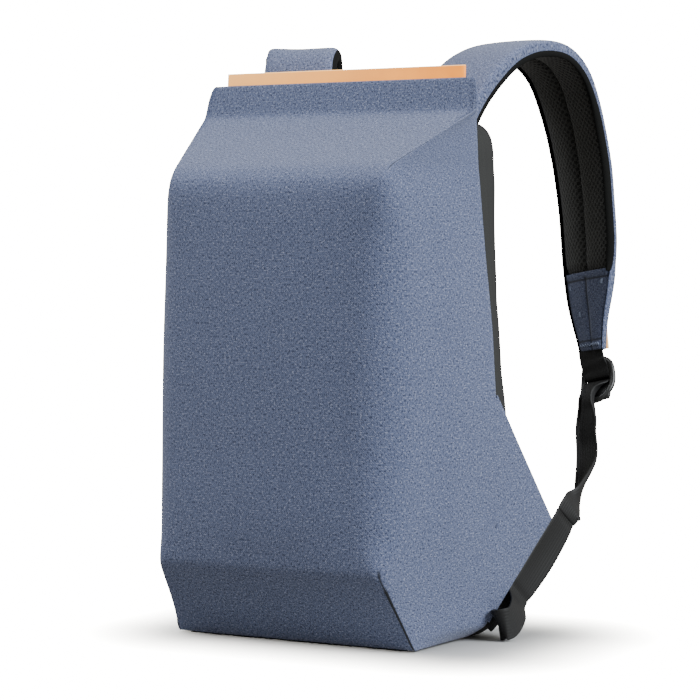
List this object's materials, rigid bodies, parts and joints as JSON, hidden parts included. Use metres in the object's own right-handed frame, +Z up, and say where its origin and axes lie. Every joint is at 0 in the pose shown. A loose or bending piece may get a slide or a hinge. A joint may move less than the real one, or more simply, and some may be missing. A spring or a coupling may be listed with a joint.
{
  "type": "anti theft backpack",
  "caption": "Slim everyday backpack of heathered cloth with a sloped top, folded collar with a leather edge, padded back and curved shoulder straps.",
  "frame": {"origin": "middle of the flat base, on the floor", "axes": "+Z up, -Y out of the front face, +Y towards the wearer, +X to the right seen from the front"},
  "size_m": [0.3202, 0.3546, 0.4719],
  "materials": {
    "blue_cloth": "heathered blue and grey woven polyester over thin foam",
    "grey_cloth": "plain dark grey woven polyester",
    "black_mesh": "black knitted spacer mesh over foam",
    "black_webbing": "black woven polyester webbing",
    "black_plastic": "black moulded acetal, semi-matt",
    "tan_leather": "smooth tan vegetable-tanned leather, cut edges"
  },
  "bodies": {
    "root": {"front_shell": "blue_cloth", "bottom_panel": "grey_cloth", "back_gusset": "grey_cloth", "back_panel": "black_mesh", "rear_collar": "blue_cloth", "leather_lip": "tan_leather", "wing_right": "blue_cloth", "wing_left": "blue_cloth", "strap_cover_right": "blue_cloth", "strap_cover_left": "blue_cloth", "strap_pad_right": "black_mesh", "strap_pad_left": "black_mesh", "strap_end_right": "blue_cloth", "strap_end_left": "blue_cloth", "leather_tab_right": "tan_leather", "strap_webbing_right": "black_webbing", "strap_webbing_left": "black_webbing", "ladder_lock_right": "black_plastic", "ladder_lock_left": "black_plastic", "lower_webbing_right": "black_webbing", "lower_webbing_left": "black_webbing", "anchor_band_right": "black_webbing", "anchor_band_left": "black_webbing", "anchor_loop_right": "black_webbing", "anchor_loop_left": "black_webbing"}
  },
  "joints": []
}
